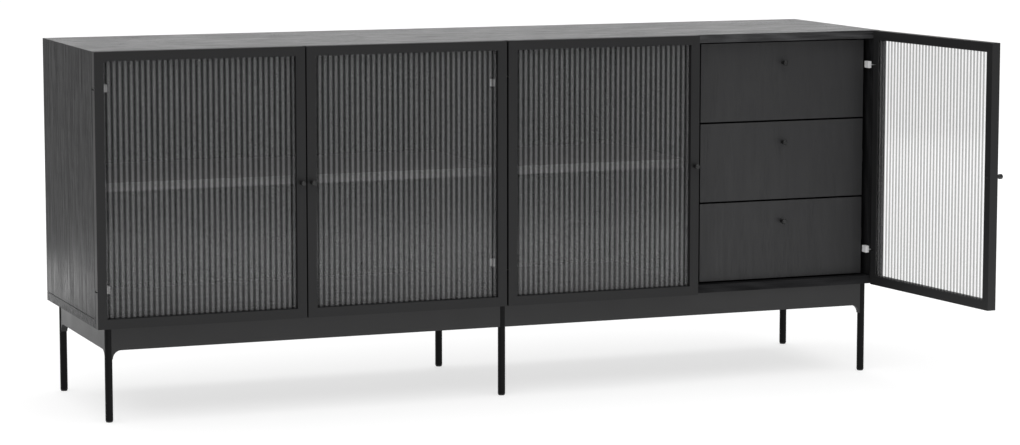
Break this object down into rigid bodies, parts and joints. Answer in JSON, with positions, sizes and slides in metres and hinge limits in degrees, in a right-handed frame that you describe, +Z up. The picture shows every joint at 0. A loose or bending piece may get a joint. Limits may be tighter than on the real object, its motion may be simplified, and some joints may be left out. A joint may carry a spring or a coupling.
{
  "type": "sideboard buffet",
  "caption": "Long low sideboard with reeded-glass doors in slim dark frames, inner drawers behind the right-hand door, a stained wood carcass and a thin steel rail base on round legs",
  "frame": {"origin": "on the floor, under the middle of the carcass footprint (doors closed)", "axes": "+X to the right seen from the front, along the length; +Y to the back; +Z up. The right-hand door stands open towards -Y."},
  "size_m": [1.8619, 0.8861, 0.77],
  "materials": {
    "stained_oak": "matte",
    "interior_board": "matte",
    "door_frame": "matte",
    "reeded_glass": "gloss",
    "knob_metal": "satin",
    "drawer_lacquer": "matte",
    "drawer_board": "matte",
    "base_steel": "satin",
    "bare_steel": "satin",
    "glide_plastic": "matte"
  },
  "bodies": {
    "carcass": {"top_panel": "stained_oak", "bottom_panel": "stained_oak", "left_side_panel": "stained_oak", "right_side_panel": "stained_oak", "centre_divider": "interior_board", "drawer_bay_divider": "interior_board", "back_panel": "interior_board", "long_shelf": "interior_board", "short_shelf": "interior_board", "shelf_pins": "bare_steel", "front_apron": "base_steel", "rear_apron": "base_steel", "side_aprons": "base_steel", "front_left_leg": "base_steel", "front_middle_leg": "base_steel", "front_right_leg": "base_steel", "rear_left_leg": "base_steel", "rear_middle_leg": "base_steel", "rear_right_leg": "base_steel", "leg_glides": "glide_plastic", "base_tabs": "base_steel", "hinge_leaves": "bare_steel", "drawer_slide_rails": "bare_steel"},
    "door_1": {"door_1_frame": "door_frame", "door_1_glass": "reeded_glass", "door_1_knob": "knob_metal", "door_1_hinge_pins": "bare_steel"},
    "door_2": {"door_2_frame": "door_frame", "door_2_glass": "reeded_glass", "door_2_knob": "knob_metal", "door_2_hinge_pins": "bare_steel"},
    "door_3": {"door_3_frame": "door_frame", "door_3_glass": "reeded_glass", "door_3_knob": "knob_metal", "door_3_hinge_pins": "bare_steel"},
    "door_4": {"door_4_frame": "door_frame", "door_4_glass": "reeded_glass", "door_4_knob": "knob_metal", "door_4_hinge_pins": "bare_steel"},
    "drawer_1": {"drawer_1_front": "drawer_lacquer", "drawer_1_left_side": "drawer_board", "drawer_1_right_side": "drawer_board", "drawer_1_back": "drawer_board", "drawer_1_bottom": "drawer_board", "drawer_1_knob": "knob_metal", "drawer_1_slides": "bare_steel"},
    "drawer_2": {"drawer_2_front": "drawer_lacquer", "drawer_2_left_side": "drawer_board", "drawer_2_right_side": "drawer_board", "drawer_2_back": "drawer_board", "drawer_2_bottom": "drawer_board", "drawer_2_knob": "knob_metal", "drawer_2_slides": "bare_steel"},
    "drawer_3": {"drawer_3_front": "drawer_lacquer", "drawer_3_left_side": "drawer_board", "drawer_3_right_side": "drawer_board", "drawer_3_back": "drawer_board", "drawer_3_bottom": "drawer_board", "drawer_3_knob": "knob_metal", "drawer_3_slides": "bare_steel"}
  },
  "joints": [
    {"name": "door_1_hinge", "type": "hinge", "parent": "carcass", "child": "door_1", "pos_m": [-0.8935, -0.22, 0.485], "axis": [0, 0, -1], "range_deg": [0, 100]},
    {"name": "door_2_hinge", "type": "hinge", "parent": "carcass", "child": "door_2", "pos_m": [-0.0085, -0.22, 0.485], "axis": [0, 0, 1], "range_deg": [0, 85]},
    {"name": "door_3_hinge", "type": "hinge", "parent": "carcass", "child": "door_3", "pos_m": [0.0085, -0.22, 0.485], "axis": [0, 0, -1], "range_deg": [0, 85]},
    {"name": "door_4_hinge", "type": "hinge", "parent": "carcass", "child": "door_4", "pos_m": [0.8935, -0.22, 0.485], "axis": [0, 0, 1], "range_deg": [-96, 4]},
    {"name": "drawer_1_slide", "type": "slide", "parent": "carcass", "child": "drawer_1", "axis": [0, -1, 0], "range_m": [0, 0.26]},
    {"name": "drawer_2_slide", "type": "slide", "parent": "carcass", "child": "drawer_2", "axis": [0, -1, 0], "range_m": [0, 0.26]},
    {"name": "drawer_3_slide", "type": "slide", "parent": "carcass", "child": "drawer_3", "axis": [0, -1, 0], "range_m": [0, 0.26]}
  ]
}
